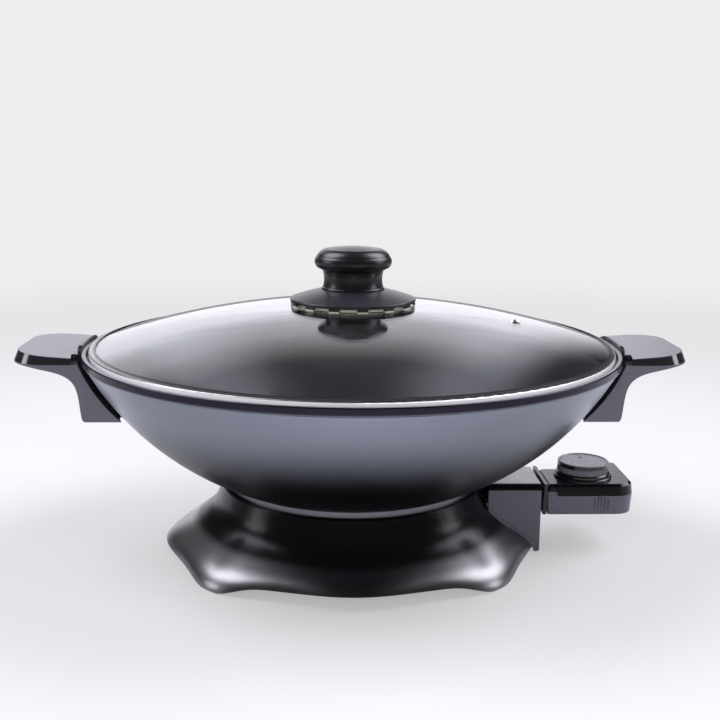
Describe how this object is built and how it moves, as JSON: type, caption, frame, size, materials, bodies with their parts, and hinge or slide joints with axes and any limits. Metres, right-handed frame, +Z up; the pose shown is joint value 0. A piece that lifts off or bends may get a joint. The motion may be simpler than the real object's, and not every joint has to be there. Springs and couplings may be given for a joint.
{
  "type": "electric wok",
  "caption": "Round-bottomed electric wok on a lobed black base, with side slab handles, lift-off domed glass lid and a plug-in temperature control with dial.",
  "frame": {"origin": "on the table, at the middle of the rest plane under the bowl's axis", "axes": "+Z up along the bowl's axis, +X towards the plug-in control, -Y towards the front"},
  "size_m": [0.4228, 0.34, 0.1968],
  "materials": {
    "bowl_metal": "satin grey-blue coat outside, dark non-stick inside",
    "handle_plastic": "satin charcoal",
    "black_plastic": "satin black",
    "base_gloss": "glossy black",
    "control_plastic": "satin slate",
    "lid_glass": "clear tempered glass",
    "bright_steel": "polished steel band",
    "plain_steel": "zinc-plated steel",
    "element_steel": "dull tube steel",
    "rubber": "matt black rubber",
    "silicone": "cream silicone",
    "ceramic": "matt insulating moulding",
    "sleeve_brass": "plain brass"
  },
  "bodies": {
    "base": {"wok_bowl": "bowl_metal", "handle_left": "handle_plastic", "handle_right": "handle_plastic", "handle_collar_left": "black_plastic", "handle_collar_right": "black_plastic", "handle_screws": "plain_steel", "base_skirt": "base_gloss", "rubber_feet": "rubber", "base_plate": "plain_steel", "base_screws": "plain_steel", "centre_bolt": "plain_steel", "centre_washer": "plain_steel", "centre_nut": "plain_steel", "centre_spacer": "plain_steel", "heat_shield": "bright_steel", "heating_element": "element_steel", "terminal_pins": "plain_steel", "thermowell": "plain_steel", "terminal_block": "ceramic", "socket_housing": "control_plastic"},
    "lid": {"lid_glass": "lid_glass", "lid_rim_band": "bright_steel", "vent_grommet": "bright_steel", "knob_flange": "black_plastic", "knob_trim_ring": "black_plastic", "knob_grip": "black_plastic", "knob_gasket": "silicone", "knob_washer": "plain_steel", "knob_screw": "plain_steel"},
    "control": {"control_lower_shell": "control_plastic", "control_upper_cover": "control_plastic", "control_collar": "black_plastic", "control_screws": "plain_steel", "contact_block": "black_plastic", "contact_sleeves": "sleeve_brass", "probe_rod": "plain_steel", "thermostat": "ceramic", "cord_gland": "rubber", "dial_bezel": "black_plastic"},
    "dial": {"dial_knob": "handle_plastic", "dial_shaft": "plain_steel"}
  },
  "joints": [
    {"name": "lid_lift", "type": "slide", "parent": "base", "child": "lid", "axis": [0, 0, 1], "range_m": [0, 0.12]},
    {"name": "control_pull", "type": "slide", "parent": "base", "child": "control", "axis": [1, 0, 0], "range_m": [0, 0.1]},
    {"name": "dial_turn", "type": "hinge", "parent": "control", "child": "dial", "pos_m": [0.1537, -0.0025, 0.05], "axis": [0, 0, 1], "range_deg": [0, 270]}
  ]
}
